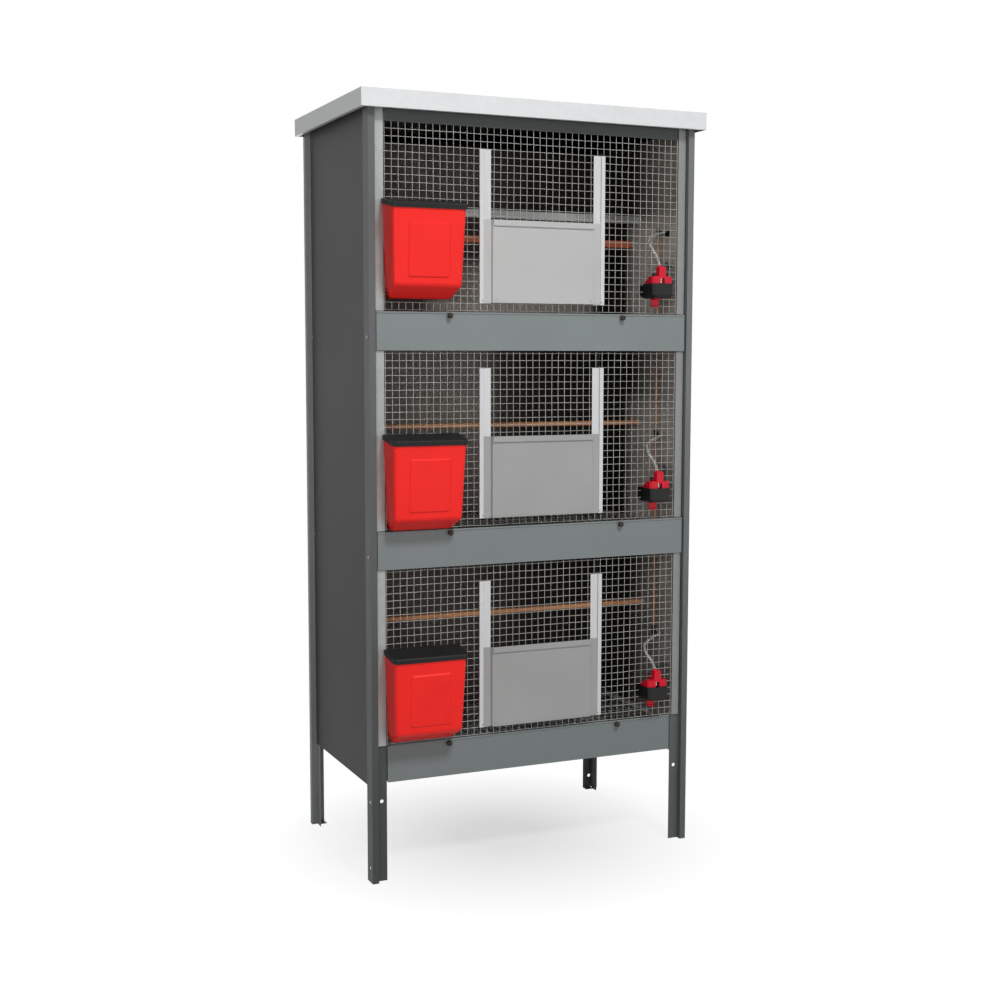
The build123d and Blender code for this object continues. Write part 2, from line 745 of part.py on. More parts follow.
# Drinker bodies: a collar with sloped sides on the cup's rim, the valve block above it and the hose nut
collar_front = mesh_face - collar_depth
valve_y = collar_front + block_depth / 2
hook_end = flange_y + bracket_thick + running_gap
for tier, sill, drinker_up in zip(tiers, sills, drinker_lift):
    cup_rim = sill + drinker_up + cup_bottom + cup_height
    collar_top = cup_rim + collar_height
    nut_end = Vector(*hose_route[-1]) + Vector(wall_x, flange_y, sill + drinker_up)
    nut_way = Vector(*hose_route[-2]) - Vector(*hose_route[-1])
    with BuildPart() as drinker_body:
        with BuildSketch(Plane.XY.offset(cup_rim)):
            with Locations((drinker_x, (collar_front + mesh_face) / 2)):
                Rectangle(collar_width, collar_depth)
        extrude(amount=collar_height)
        chamfer(drinker_body.edges().filter_by(Axis.Z).group_by(Axis.Y)[0], collar_wall)
        with BuildSketch(Plane.XY.offset(cup_rim)):
            with Locations((drinker_x, (collar_front + 2 * collar_wall + mesh_face) / 2)):
                Rectangle(collar_width - 2 * collar_wall, collar_depth - 2 * collar_wall)
        extrude(amount=collar_height - collar_wall, mode=Mode.SUBTRACT)
        with BuildSketch(Plane.XY.offset(cup_rim)):
            with Locations((drinker_x, collar_front + collar_wall)):
                Rectangle(collar_notch, 2 * collar_wall)
        extrude(amount=collar_height - collar_wall, mode=Mode.SUBTRACT)
        with BuildSketch(Plane.YZ.offset(drinker_x - collar_width / 2)):
            Polygon(
                (collar_front + block_depth, collar_top),
                (mesh_face, collar_top),
                (mesh_face, cup_rim + collar_heel),
                align=None,
            )
        extrude(amount=collar_width, mode=Mode.SUBTRACT)
        with BuildSketch(Plane.XY.offset(collar_top)):
            with Locations((drinker_x, valve_y)):
                RectangleRounded(block_width, block_depth, block_round)
        extrude(amount=block_height)
        with BuildSketch(Plane.XY.offset(collar_top + hook_rise - hook_thick)):
            with Locations((drinker_x, (valve_y + hook_end) / 2)):
                Rectangle(hook_width, hook_end - valve_y)
        extrude(amount=hook_thick)
        with BuildSketch(Plane(origin=nut_end, z_dir=nut_way)):
            Circle(nut_radius)
        extrude(amount=-nut_height)
        with BuildSketch(Plane.XY.offset(collar_top + chamber_floor)):
            with Locations((drinker_x, valve_y)):
                Circle(chamber_radius)
        extrude(amount=chamber_height, mode=Mode.SUBTRACT)
        with BuildSketch(Plane.XY.offset(cup_rim)):
            with Locations((drinker_x, valve_y)):
                Circle(pin_radius + peg_gap)
        extrude(amount=collar_height + chamber_floor, mode=Mode.SUBTRACT)
    write(drinker_body.part, f"drinker_body_{tier}")

# Drinker pins: valve stem with a head in the chamber and a bevelled tip that the bird lifts
for tier, sill, drinker_up in zip(tiers, sills, drinker_lift):
    cup_rim = sill + drinker_up + cup_bottom + cup_height
    head_seat = cup_rim + collar_height + chamber_floor + running_gap
    tip_z = cup_rim + running_gap
    with BuildPart() as drinker_pin:
        with BuildSketch(Plane.XY.offset(tip_z)):
            with Locations((drinker_x, valve_y)):
                Circle(pin_tip_radius)
        extrude(amount=2 * pin_tip_radius)
        chamfer(drinker_pin.edges(), length=pin_tip_radius / 2)
        with BuildSketch(Plane.XY.offset(tip_z + pin_tip_radius)):
            with Locations((drinker_x, valve_y)):
                Circle(pin_radius)
        extrude(amount=head_seat - tip_z - pin_tip_radius)
        with BuildSketch(Plane.XY.offset(head_seat)):
            with Locations((drinker_x, valve_y)):
                Circle(pin_head_radius)
        extrude(amount=pin_head)
    write(drinker_pin.part, f"drinker_pin_{tier}")

# Drinker cups: square cup bevelled at the front corners and round the bottom, reaching through the wire
cup_face = mesh_face - cup_front
cup_end = flange_y + cup_back
for tier, sill, drinker_up in zip(tiers, sills, drinker_lift):
    cup_base = sill + drinker_up + cup_bottom
    with BuildPart() as drinker_cup:
        with BuildSketch(Plane.XY.offset(cup_base)):
            with Locations((drinker_x, (cup_face + cup_end) / 2)):
                Rectangle(cup_width, cup_end - cup_face)
        extrude(amount=cup_height)
        chamfer(drinker_cup.edges().filter_by(Axis.Z).group_by(Axis.Y)[0], cup_corner)
        chamfer(drinker_cup.faces().sort_by(Axis.Z)[0].edges(), cup_bevel)
        offset(amount=-cup_wall, openings=drinker_cup.faces().sort_by(Axis.Z)[-1])
    write(drinker_cup.part, f"drinker_cup_{tier}")

# Cup clips: channel under each cup that bears on the wire
with BuildPart() as cup_clips:
    for sill, drinker_up in zip(sills, drinker_lift):
        cup_base = sill + drinker_up + cup_bottom
        with BuildSketch(Plane.YZ.offset(drinker_x - clip_width / 2)):
            with BuildLine():
                Polyline(
                    (mesh_face - clip_lip, cup_base - clip_drop),
                    (mesh_face, cup_base - clip_drop),
                    (mesh_face, cup_base),
                    (mesh_face - clip_reach, cup_base),
                )
                offset(amount=clip_thick, side=Side.LEFT, kind=Kind.INTERSECTION)
            make_face()
        extrude(amount=clip_width)
write(cup_clips.part, "cup_clips")

# Drinker brackets: arm behind the wire on the body's hook, with a stem and a four-pointed plate at its end
for tier, sill, drinker_up in zip(tiers, sills, drinker_lift):
    arm_low = sill + drinker_up + cup_bottom + cup_height + collar_height + hook_rise
    star_z = sill + drinker_up + bracket_rise
    arm_length = bracket_reach + (hook_width + bracket_arm) / 2
    with BuildPart() as drinker_bracket:
        with BuildSketch(Plane.XZ.offset(-flange_y - bracket_thick)):
            with Locations((drinker_x - hook_width / 2, arm_low)):
                Rectangle(arm_length, bracket_arm, align=(Align.MIN, Align.MIN))
            with Locations((drinker_x + bracket_reach, arm_low)):
                Rectangle(bracket_arm, star_z - arm_low, align=(Align.CENTER, Align.MIN))
            with Locations((drinker_x + bracket_reach, star_z)):
                Polygon(
                    (star_half_width, 0),
                    (star_waist, star_waist),
                    (0, star_half_height),
                    (-star_waist, star_waist),
                    (-star_half_width, 0),
                    (-star_waist, -star_waist),
                    (0, -star_half_height),
                    (star_waist, -star_waist),
                    align=None,
                )
        extrude(amount=bracket_thick)
    write(drinker_bracket.part, f"drinker_bracket_{tier}")

# Drinker hoses: limp clear tube from each tee through the wire and down to the nut
for tier, sill, drinker_up in zip(tiers, sills, drinker_lift):
    points = [
        Vector(*point) + Vector(wall_x, flange_y, sill + share * drinker_up)
        for point, share in zip(hose_route, hose_follow)
    ]
    runs = [after - before for before, after in zip(points[:-1], points[1:])]
    radii = []
    for before, after in zip(runs[:-1], runs[1:]):
        half_turn = radians(before.get_angle(after) / 2)
        radii.append(0.45 * min(before.length, after.length) / tan(half_turn))
    with BuildPart() as drinker_hose:
        with BuildLine() as hose_line:
            FilletPolyline(*points, radius=radii)
        with BuildSketch(Plane(origin=hose_line.line @ 0, z_dir=hose_line.line % 0)):
            RegularPolygon(hose_radius, hose_facets)
        sweep(path=hose_line.line)
    print(tier, "hose radii", [round(radius, 1) for radius in radii])
    write(drinker_hose.part, f"drinker_hose_{tier}")

# Hose tees: one on the riser at each tier, the top one with a second branch to the inlet
tee_heights = [sill + tee_rise for sill in sills]
with BuildPart() as hose_tees:
    for tee_z in tee_heights:
        with BuildSketch(Plane.XY.offset(tee_z - tee_length / 2)):
            with Locations((riser_x, riser_y)):
                Circle(tee_radius)
        extrude(amount=tee_length)
        with BuildSketch(Plane.XZ.offset(-riser_y)):
            with Locations((riser_x, tee_z)):
                Circle(branch_radius)
        extrude(amount=tee_branch)
    with BuildSketch(Plane.YZ.offset(riser_x)):
        with Locations((riser_y, inlet_z)):
            Circle(branch_radius)
    extrude(amount=tee_branch)
write(hose_tees.part, "hose_tees")

# Supply riser: straight tubes between the tees
with BuildPart() as supply_riser:
    for upper_z, lower_z in zip(tee_heights[:-1], tee_heights[1:]):
        with BuildSketch(Plane.XY.offset(lower_z + tee_length / 2)):
            with Locations((riser_x, riser_y)):
                Circle(hose_radius)
        extrude(amount=upper_z - lower_z - tee_length)
write(supply_riser.part, "supply_riser")

# Water inlet: bulkhead through the right panel, nutted on both faces
outer_face = wall_x + panel_sheet
inlet_start = riser_x + tee_branch
with BuildPart() as water_inlet:
    with BuildSketch(Plane.YZ.offset(inlet_start)):
        with Locations((riser_y, inlet_z)):
            Circle(inlet_radius)
    extrude(amount=outer_face + inlet_nut + inlet_barb - inlet_start)
    for nut_face in (wall_x - inlet_nut, outer_face):
        with BuildSketch(Plane.YZ.offset(nut_face)):
            with Locations((riser_y, inlet_z)):
                RegularPolygon(inlet_nut_radius, 6)
        extrude(amount=inlet_nut)
write(water_inlet.part, "water_inlet")

# Perches and their cups: a wooden bar across each tier, its ends dropped into wall cups
perch_half = wall_x - cup_sheet - running_gap
with BuildPart() as perches:
    for sill, bar_y, bar_rise, bar_height in zip(sills, perch_y, perch_rise, perch_height):
        with BuildSketch(Plane.YZ.offset(-perch_half)):
            with Locations((bar_y, sill + bar_rise)):
                RectangleRounded(perch_width, bar_height, perch_round)
        extrude(amount=2 * perch_half)
write(perches.part, "perches")

with BuildPart() as perch_brackets:
    for sill, bar_y, bar_rise, bar_height in zip(sills, perch_y, perch_rise, perch_height):
        seat_width = perch_width + 2 * running_gap
        seat_z = sill + bar_rise - bar_height / 2 - running_gap
        with BuildSketch(Plane.YZ.offset(-wall_x)):
            with Locations((bar_y, seat_z - cup_sheet + (bar_height + cup_sheet) / 2)):
                Rectangle(seat_width + 2 * cup_sheet, bar_height + cup_sheet)
        extrude(amount=perch_seat)
        with BuildSketch(Plane.YZ.offset(-wall_x + cup_sheet)):
            with Locations((bar_y, seat_z + bar_height / 2)):
                Rectangle(seat_width, bar_height)
        extrude(amount=perch_seat, mode=Mode.SUBTRACT)
    mirror(about=Plane.YZ)
write(perch_brackets.part, "perch_brackets")

# Tie bar: flat bar across the top tier, its ends turned against the side panels
with BuildPart() as tie_bar:
    with BuildSketch(Plane.XY.offset(sills[0] + tie_rise)):
        with BuildLine():
            Polyline(
                (-wall_x, middle_y - tie_tab),
                (-wall_x, middle_y),
                (wall_x, middle_y),
                (wall_x, middle_y - tie_tab),
            )
            offset(amount=tie_sheet, side=Side.RIGHT, kind=Kind.INTERSECTION)
        make_face()
    extrude(amount=tie_height)
write(tie_bar.part, "tie_bar")
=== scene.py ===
import json
from math import radians

import bmesh
import bpy
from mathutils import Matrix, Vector


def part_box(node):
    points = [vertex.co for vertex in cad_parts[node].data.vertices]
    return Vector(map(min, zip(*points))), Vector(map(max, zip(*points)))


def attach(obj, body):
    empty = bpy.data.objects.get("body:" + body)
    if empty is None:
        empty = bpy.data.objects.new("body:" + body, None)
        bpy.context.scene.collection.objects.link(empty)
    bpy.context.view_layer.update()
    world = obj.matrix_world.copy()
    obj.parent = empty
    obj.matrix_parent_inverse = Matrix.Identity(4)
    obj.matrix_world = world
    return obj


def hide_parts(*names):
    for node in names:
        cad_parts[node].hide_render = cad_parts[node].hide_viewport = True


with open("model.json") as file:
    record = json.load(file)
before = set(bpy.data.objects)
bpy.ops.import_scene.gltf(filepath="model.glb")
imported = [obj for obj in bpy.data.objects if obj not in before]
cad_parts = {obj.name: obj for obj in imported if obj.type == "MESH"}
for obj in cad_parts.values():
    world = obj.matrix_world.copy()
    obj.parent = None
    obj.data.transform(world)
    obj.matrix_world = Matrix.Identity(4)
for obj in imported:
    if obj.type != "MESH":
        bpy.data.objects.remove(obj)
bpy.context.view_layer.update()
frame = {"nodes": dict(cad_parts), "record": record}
scene = bpy.context.scene
scene.view_settings.view_transform = "Standard"

# The studio: the camera stands in front and to the left, at two thirds of the cage's height.
# One soft lamp hangs high in front, two weaker ones fill the inside and the left side,
# and one lights the back.
camera_dip = 5.634
camera_roll = -0.096
camera_turn = -23.852
camera_data = bpy.data.cameras.new("studio_camera")
camera_data.sensor_width = 36
camera_data.lens = 53.68
camera = bpy.data.objects.new("studio_camera", camera_data)
camera.location = (-1.44115, -3.255839, 1.17407)
camera.rotation_euler = (radians(90 - camera_dip), radians(camera_roll), radians(camera_turn))
scene.collection.objects.link(camera)
scene.camera = camera


def soft_lamp(name, place, aim, size, watts):
    """Hang a square studio lamp that points at a spot on the cage."""
    lamp_data = bpy.data.lights.new(name, "AREA")
    lamp_data.size = size
    lamp_data.energy = watts
    lamp = bpy.data.objects.new(name, lamp_data)
    lamp.location = place
    lamp.rotation_euler = (Vector(aim) - Vector(place)).to_track_quat("-Z", "Y").to_euler()
    scene.collection.objects.link(lamp)


soft_lamp("high_lamp", (0.2, -3.67, 4.9), (0, 0, 1.0), 0.9, 168)
soft_lamp("right_fill", (1.6, -3.5, 1.1), (0, 0, 1.0), 2.0, 14)
soft_lamp("left_fill", (-2.2, -3.2, 1.5), (0.2, 0, 1.1), 1.4, 34)
soft_lamp("back_fill", (0.7, 3.4, 1.9), (0, 0, 1.0), 2.0, 36)


# The ground is white paper that keeps the cage's shadow close to the legs and fades to plain white.
# The world is white to the eye and gives a dim even light.
class Tone:
    """One socket of a node tree. Sums and products of tones add Math nodes."""

    def __init__(self, tree, socket=None):
        self.tree = tree
        self.socket = socket

    def node(self, kind, settings=None, inputs=None, output=0):
        """Add a node with its settings, give its inputs values or links, and return one output."""
        made = self.tree.nodes.new(kind)
        for name, value in (settings or {}).items():
            setattr(made, name, value)
        for name, value in (inputs or {}).items():
            self.feed(made.inputs[name], value)
        return Tone(self.tree, made.outputs[output])

    def feed(self, slot, value):
        """Link a tone to a slot, or write a plain value there."""
        if isinstance(value, Tone):
            self.tree.links.new(value.socket, slot)
        else:
            slot.default_value = value

    def beside(self, output):
        """Another output of the same node."""
        return Tone(self.tree, self.socket.node.outputs[output])

    def blend(self, share, first, second):
        """Mix two colours by a share from 0 to 1."""
        mixed = {0: share, 6: first, 7: second}
        return self.node("ShaderNodeMix", {"data_type": "RGBA"}, mixed, output=2)

    def maths(self, operation, first, second):
        """One Math node on two values."""
        return self.node("ShaderNodeMath", {"operation": operation}, {0: first, 1: second})

    def __add__(self, other):
        return self.maths("ADD", self, other)

    __radd__ = __add__

    def __mul__(self, other):
        return self.maths("MULTIPLY", self, other)

    __rmul__ = __mul__

    def __sub__(self, other):
        return self.maths("SUBTRACT", self, other)

    def __rsub__(self, other):
        return self.maths("SUBTRACT", other, self)

    def __gt__(self, other):
        return self.maths("GREATER_THAN", self, other)


def coat(name):
    """A new material with its tone, its shader and the place on the piece."""
    material = bpy.data.materials.new(name)
    material.use_nodes = True
    tone = Tone(material.node_tree)
    place = tone.node("ShaderNodeTexCoord", output="Object")
    return material, tone, material.node_tree.nodes["Principled BSDF"], place


def seen_as_white(tone):
    """1 for rays that come from the eye, from a shiny face or through clear plastic."""
    ray = tone.node("ShaderNodeLightPath", output="Is Camera Ray")
    return ray + ray.beside("Is Glossy Ray") + ray.beside("Is Transmission Ray")


white = (1, 1, 1, 1)
ground_half = 9
ground_mesh = bpy.data.meshes.new("ground_paper")
ground_corners = [(x * ground_half, y * ground_half, 0) for x, y in ((-1, -1), (1, -1), (1, 1), (-1, 1))]
ground_mesh.from_pydata(ground_corners, [], [(0, 1, 2, 3)])
ground = bpy.data.objects.new("ground_paper", ground_mesh)
scene.collection.objects.link(ground)
paper, tone, shader, spot = coat("white_paper")
shader.inputs["Base Color"].default_value = (0.55, 0.55, 0.55, 1)
shader.inputs["Roughness"].default_value = 0.9
away = tone.node("ShaderNodeVectorMath", {"operation": "LENGTH"}, {0: spot}, output="Value")
paper_fade = {"Value": away, "From Min": 0.1, "From Max": 0.55, "To Min": 0.6}
fade = tone.node("ShaderNodeMapRange", inputs=paper_fade)
glow = tone.node("ShaderNodeEmission", inputs={"Color": white, "Strength": 1})
lit = Tone(tone.tree, shader.outputs[0])
sheet = tone.node("ShaderNodeMixShader", inputs={0: fade * seen_as_white(tone), 1: lit, 2: glow})
tone.feed(tone.tree.nodes["Material Output"].inputs["Surface"], sheet)
ground_mesh.materials.append(paper)

world = bpy.data.worlds.new("white_room")
world.use_nodes = True
scene.world = world
sky = Tone(world.node_tree)
sky_light = sky.node("ShaderNodeBackground", inputs={"Color": white, "Strength": 0.15})
sky_white = sky.node("ShaderNodeBackground", inputs={"Color": white, "Strength": 1})
sky_mix = sky.node("ShaderNodeMixShader", inputs={0: seen_as_white(sky), 1: sky_light, 2: sky_white})
sky.feed(world.node_tree.nodes["World Output"].inputs["Surface"], sky_mix)

# The folded frame: four legs with their foot plates, and the folded bar under the roof.
# They are mild steel, bent on a brake, powder coated in a satin greenish grey and bolted together.
# Each leg has its own grey, lighter or darker as painted light and shade,
# and the coat on the legs darkens towards the floor as painted shade.
nodes = frame["nodes"]
bodies = frame["record"]["behaviour"]["bodies"]
carrier = {node: body for body, members in bodies.items() for node in members}
weld_gap = 1e-6
flat_within = radians(0.5)
shaded_sharp_from = radians(60)
rounded_from = radians(28)


def softened(node, material, rounding):
    """Copy a CAD node as one welded mesh, round its edges and let it stand for the node."""
    mesh = nodes[node].data.copy()
    mesh.materials.clear()
    mesh.materials.append(material)
    if "custom_normal" in mesh.attributes:
        mesh.attributes.remove(mesh.attributes["custom_normal"])
    shape = bmesh.new()
    shape.from_mesh(mesh)
    bmesh.ops.remove_doubles(shape, verts=shape.verts, dist=weld_gap)
    bmesh.ops.dissolve_limit(shape, angle_limit=flat_within, verts=shape.verts, edges=shape.edges)
    for face in shape.faces:
        face.smooth = True
    shape.to_mesh(mesh)
    shape.free()
    mesh.set_sharp_from_angle(angle=shaded_sharp_from)
    piece = bpy.data.objects.new(node + "_shell", mesh)
    scene.collection.objects.link(piece)
    edges = piece.modifiers.new("rounded_edges", "BEVEL")
    edges.width = rounding
    edges.segments = 2
    edges.limit_method = "ANGLE"
    edges.angle_limit = rounded_from
    faces = piece.modifiers.new("flat_faces", "WEIGHTED_NORMAL")
    faces.keep_sharp = True
    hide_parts(node)
    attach(piece, carrier[node])
    return piece


def tint(red, green, blue):
    """A screen colour, 0 to 255, as the linear colour that a shader takes."""
    return tuple(((part / 255 + 0.055) / 1.055) ** 2.4 for part in (red, green, blue)) + (1,)


def greenish(grey):
    """A grey with a breath of green and blue in it."""
    return tint(grey, grey + 3, grey + 3)


def mottle(place, scale, detail):
    """Soft noise over a piece, about 0 to 1."""
    return place.node("ShaderNodeTexNoise", inputs={"Vector": place, "Scale": scale, "Detail": detail})


def part_way(value, start, end):
    """How far a value has come from start to end, kept between 0 and 1."""
    return value.node("ShaderNodeMapRange", inputs={"Value": value, "From Min": start, "From Max": end})


def grained(shader, relief, strength, depth):
    """Raise a fine relief on a shader's surface."""
    bump = relief.node("ShaderNodeBump", inputs={"Height": relief, "Strength": strength, "Distance": depth})
    relief.feed(shader.inputs["Normal"], bump)


# Painted shade: between these heights a coat darkens down to its foot colour.
shaded_below = 0.15
lit_above = 1.1
cloud_dark = 0.88
cloud_light = 1.10


def powder_coat(name, colour, shaded_foot_colour=None):
    """Satin powder coat: cloudy tone, orange-peel bump, uneven sheen, painted shade at the foot if asked.
    """
    material, tone, shader, place = coat(name)
    cloud = mottle(place, 6, 5)
    dark = tuple(cloud_dark * part for part in colour[:3]) + (1,)
    light = tuple(cloud_light * part for part in colour[:3]) + (1,)
    shade = tone.blend(cloud, dark, light)
    # Painted shade: the coat darkens towards the floor.
    if shaded_foot_colour:
        height = tone.node("ShaderNodeSeparateXYZ", inputs={0: place}, output="Z")
        shade = tone.blend(part_way(height, shaded_below, lit_above), shaded_foot_colour, shade)
    tone.feed(shader.inputs["Base Color"], shade)
    tone.feed(shader.inputs["Roughness"], 0.42 + 0.16 * cloud)
    shader.inputs["Specular IOR Level"].default_value = 0.25
    grained(shader, mottle(place, 700, 2), 0.05, 0.0006)
    return material


frame_coat = powder_coat("frame_powder_coat", greenish(78))
# Each leg's grey is painted light and shade, and its foot grey is painted shade.
post_lit_and_shaded_greys = {
    "post_front_left": (94, 66),
    "post_front_right": (112, 84),
    "post_rear_left": (152, 136),
    "post_rear_right": (112, 80),
}
for node, (grey, shaded_foot_grey) in post_lit_and_shaded_greys.items():
    post_coat = powder_coat(node + "_coat", greenish(grey), greenish(shaded_foot_grey))
    softened(node, post_coat, 0.0011)
softened("foot_plates", frame_coat, 0.0005)
softened("header_bar", frame_coat, 0.0005)

# The side and back sheets are coated outside and bare inside, where the zinc has gone dull and brown.
# They are 1 mm steel that laps into the front legs and lies on the recessed flange of the rear ones.
# Inside, the right rear corner is darkened as painted shadow, and pale patches are painted pools of light.
half_sheet = 0.0005
sheet_shaded_below = 0.5
sheet_lit_above = 1.15
patch_fade = 0.05
# The colour of the painted shadow in the right rear corner.
painted_shadow_black = tint(28, 25, 23)
# The colour of the painted pools of light on the inside sheets.
painted_light_pale = tint(246, 235, 226)


def wall_sheet(name, axis, side, plane, dull, bright, corner_shade=(0.0, 1.0, 0.0), pale=()):
    """Coat outside a plane across an axis, and stained zinc on the side of it towards the birds.

    Outside, the coat darkens lower down as painted shade.
    Corner shade is painted shadow: where along the sheet it starts, where it is darkest, and its share
    there.
    A pale patch is a painted pool of light: its left, right, low and high edge, and its share.
    """
    material, tone, shader, place = coat(name)
    through = tone.node("ShaderNodeSeparateXYZ", inputs={0: place}, output=axis)
    along = through.beside("Y" if axis == "X" else "X")
    height = through.beside("Z")
    inner = side * through > side * plane
    cloud = mottle(place, 5, 5)
    # Outside: the coat darkens lower down as painted shade.
    low_shade = tone.blend(cloud, tint(62, 62, 61), tint(73, 73, 72))
    high_shade = tone.blend(cloud, tint(82, 82, 81), tint(94, 94, 93))
    outside = tone.blend(part_way(height, sheet_shaded_below, sheet_lit_above), low_shade, high_shade)
    shade_starts_at, shade_darkest_at, shade_share = corner_shade
    stained = tone.blend(mottle(place, 14, 8), dull, bright)
    # Painted shadow: the inside darkens along the sheet towards the right rear corner.
    inside = tone.blend(shade_share * part_way(along, shade_starts_at, shade_darkest_at), stained, painted_shadow_black)
    # Each pale patch lightens the inside as a painted pool of light.
    for left, right, low, high, patch in pale:
        for value, first, second in ((along, left, right), (height, low, high)):
            patch = patch * part_way(value, first, first + patch_fade)
            patch = patch * part_way(value, second, second - patch_fade)
        inside = tone.blend(patch, inside, painted_light_pale)
    tone.feed(shader.inputs["Base Color"], tone.blend(inner, outside, inside))
    tone.feed(shader.inputs["Roughness"], 0.44 + 0.14 * cloud + 0.15 * inner)
    shader.inputs["Specular IOR Level"].default_value = 0.1
    grained(shader, mottle(place, 700, 2), 0.05, 0.0006)
    return material


wall_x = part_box("tray_runners_right")[1].x
left_zinc = tint(128, 118, 110), tint(184, 174, 166)
left_wall = wall_sheet("left_wall_sheet", "X", 1, -wall_x - half_sheet, *left_zinc)
right_zinc = tint(136, 127, 120), tint(190, 181, 174)
# The right wall's painted shadow darkens it towards the rear.
right_corner_shade = (-0.12, 0.06, 0.95)
# Painted pools of light on the front part of the right wall.
right_painted_light = ((-0.35, 0.10, 1.20, 1.52, 0.75), (-0.35, 0.10, 0.70, 1.08, 0.48))
right_wall = wall_sheet(
    "right_wall_sheet", "X", -1, wall_x + half_sheet, *right_zinc, corner_shade=right_corner_shade, pale=right_painted_light
)
back_middle = sum(corner.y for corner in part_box("back_panel")) / 2
back_zinc = tint(122, 110, 103), tint(184, 172, 164)
# The back wall's painted shadow darkens it towards the right.
back_corner_shade = (-0.35, 0.2, 0.92)
# Painted pools of light on the back wall.
back_painted_light = ((-0.10, 0.41, 1.20, 1.42, 1.0), (-0.40, 0.12, 0.74, 1.24, 0.27))
back_wall = wall_sheet(
    "back_wall_sheet", "Y", -1, back_middle, *back_zinc, corner_shade=back_corner_shade, pale=back_painted_light
)
wall_coats = {"side_panel_left": left_wall, "side_panel_right": right_wall, "back_panel": back_wall}
for node, material in wall_coats.items():
    softened(node, material, 0.0002)

# The roof is a shallow tray of bright galvanised sheet turned upside down over the legs.
# Its skirt is folded down on four sides and hemmed, so the corners show a sharp fold.
right_hand_from = 0.2
painted_shade_zinc = tint(84, 88, 88)


def zinc(name, dull, bright, metallic, rough, right_shaded=0.0):
    """Galvanised steel: zinc crystals in close greys, fine grain, painted shade at the right if asked."""
    material, tone, shader, place = coat(name)
    crystal = tone.node("ShaderNodeTexVoronoi", inputs={"Vector": place, "Scale": 70}, output="Color")
    grey = tone.node("ShaderNodeRGBToBW", inputs={0: crystal})
    patches = tone.blend(0.35 * grey + 0.65 * mottle(place, 8, 6), dull, bright)
    # Painted shade: the parts at the right are darkened.
    if right_shaded:
        at_right = tone.node("ShaderNodeSeparateXYZ", inputs={0: place}, output="X") > right_hand_from
        patches = tone.blend(right_shaded * at_right, patches, painted_shade_zinc)
    tone.feed(shader.inputs["Base Color"], patches)
    tone.feed(shader.inputs["Roughness"], rough + 0.14 * grey)
    shader.inputs["Metallic"].default_value = metallic
    grained(shader, mottle(place, 420, 2), 0.04, 0.0005)
    return material


roof_zinc = zinc("roof_zinc", tint(201, 203, 204), tint(215, 216, 217), 0.15, 0.38)
softened("roof", roof_zinc, 0.0006)

# The flat bars that clamp the wire, the tray runners, the tie bar and the cups for the perches
# are cut from galvanised stock and left uncoated. The bars at the right are darker, a painted shade.
strip_zinc = zinc("strip_zinc", tint(138, 141, 140), tint(172, 174, 172), 0.3, 0.42, right_shaded=0.45)
softened("clamp_strips", strip_zinc, 0.0003)
bar_zinc = zinc("bar_zinc", tint(160, 161, 159), tint(200, 200, 198), 0.35, 0.36)
for node in ("tie_bar", "tray_runners_left", "tray_runners_right", "perch_brackets"):
    softened(node, bar_zinc, 0.0003)


# The wire fronts are welded mesh of thin galvanised wire, cut out for the door, the trough and the cup.
# The cross wires lie against the legs, the uprights are welded on in front, and no wire is quite straight.
def sized_tree(name, sizes):
    """A Geometry Nodes tree with named inputs; gives the tree, its inputs and the slot that it ends in."""
    tree = bpy.data.node_groups.new(name, "GeometryNodeTree")
    for size, kind in sizes.items():
        tree.interface.new_socket(size, in_out="INPUT", socket_type="NodeSocket" + kind)
    tree.interface.new_socket("Shape", in_out="OUTPUT", socket_type="NodeSocketGeometry")
    start = tree.nodes.new("NodeGroupInput")
    end = tree.nodes.new("NodeGroupOutput")
    return tree, {size: Tone(tree, start.outputs[size]) for size in sizes}, end.inputs[0]


def grown(tree, name, values):
    """Run a tree once on an empty mesh and keep what it makes as a plain mesh."""
    piece = bpy.data.objects.new(name, bpy.data.meshes.new(name))
    scene.collection.objects.link(piece)
    maker = piece.modifiers.new("maker", "NODES")
    maker.node_group = tree
    for item in tree.interface.items_tree:
        if item.in_out == "INPUT":
            maker[item.identifier] = values[item.name]
    made = bpy.data.meshes.new_from_object(piece.evaluated_get(bpy.context.evaluated_depsgraph_get()))
    piece.modifiers.remove(maker)
    piece.data = made
    return piece


def spaced(knot, count, offset, start=(0, 0, 0)):
    """Points in a line, each an offset from the last."""
    line = {"Count": count, "Start Location": start, "Offset": offset}
    return knot.node("GeometryNodeMeshLine", {"mode": "OFFSET"}, line)


def compared(operation, first, second):
    """1 where a vector is past another in every part."""
    settings = {"data_type": "VECTOR", "mode": "ELEMENT", "operation": operation}
    return first.node("FunctionNodeCompare", settings, {4: first, 5: second})


ways = ("Cross", "Upright")
windows = 3
wire_sizes = {"Wire Radius": "Float", "Sides": "Int", "Wander": "Vector", "Finish": "Material"}
for way in ways:
    wire_sizes[way + " Start"] = "Vector"
    wire_sizes[way + " Step"] = "Vector"
    wire_sizes[way + " Points"] = "Int"
    wire_sizes[way + " Row"] = "Vector"
    wire_sizes[way + " Wires"] = "Int"
for number in range(windows):
    wire_sizes[f"Window {number} Low"] = "Vector"
    wire_sizes[f"Window {number} High"] = "Vector"
wire_tree, size, wire_end = sized_tree("welded_wire", wire_sizes)
knot = Tone(wire_tree)
panel = knot.node("GeometryNodeJoinGeometry")
for way in ways:
    strand = spaced(knot, size[way + " Points"], size[way + " Step"])
    row = spaced(knot, size[way + " Wires"], size[way + " Row"], size[way + " Start"])
    strands = knot.node("GeometryNodeInstanceOnPoints", inputs={"Points": row, "Instance": strand})
    knot.feed(panel.socket.node.inputs[0], strands)
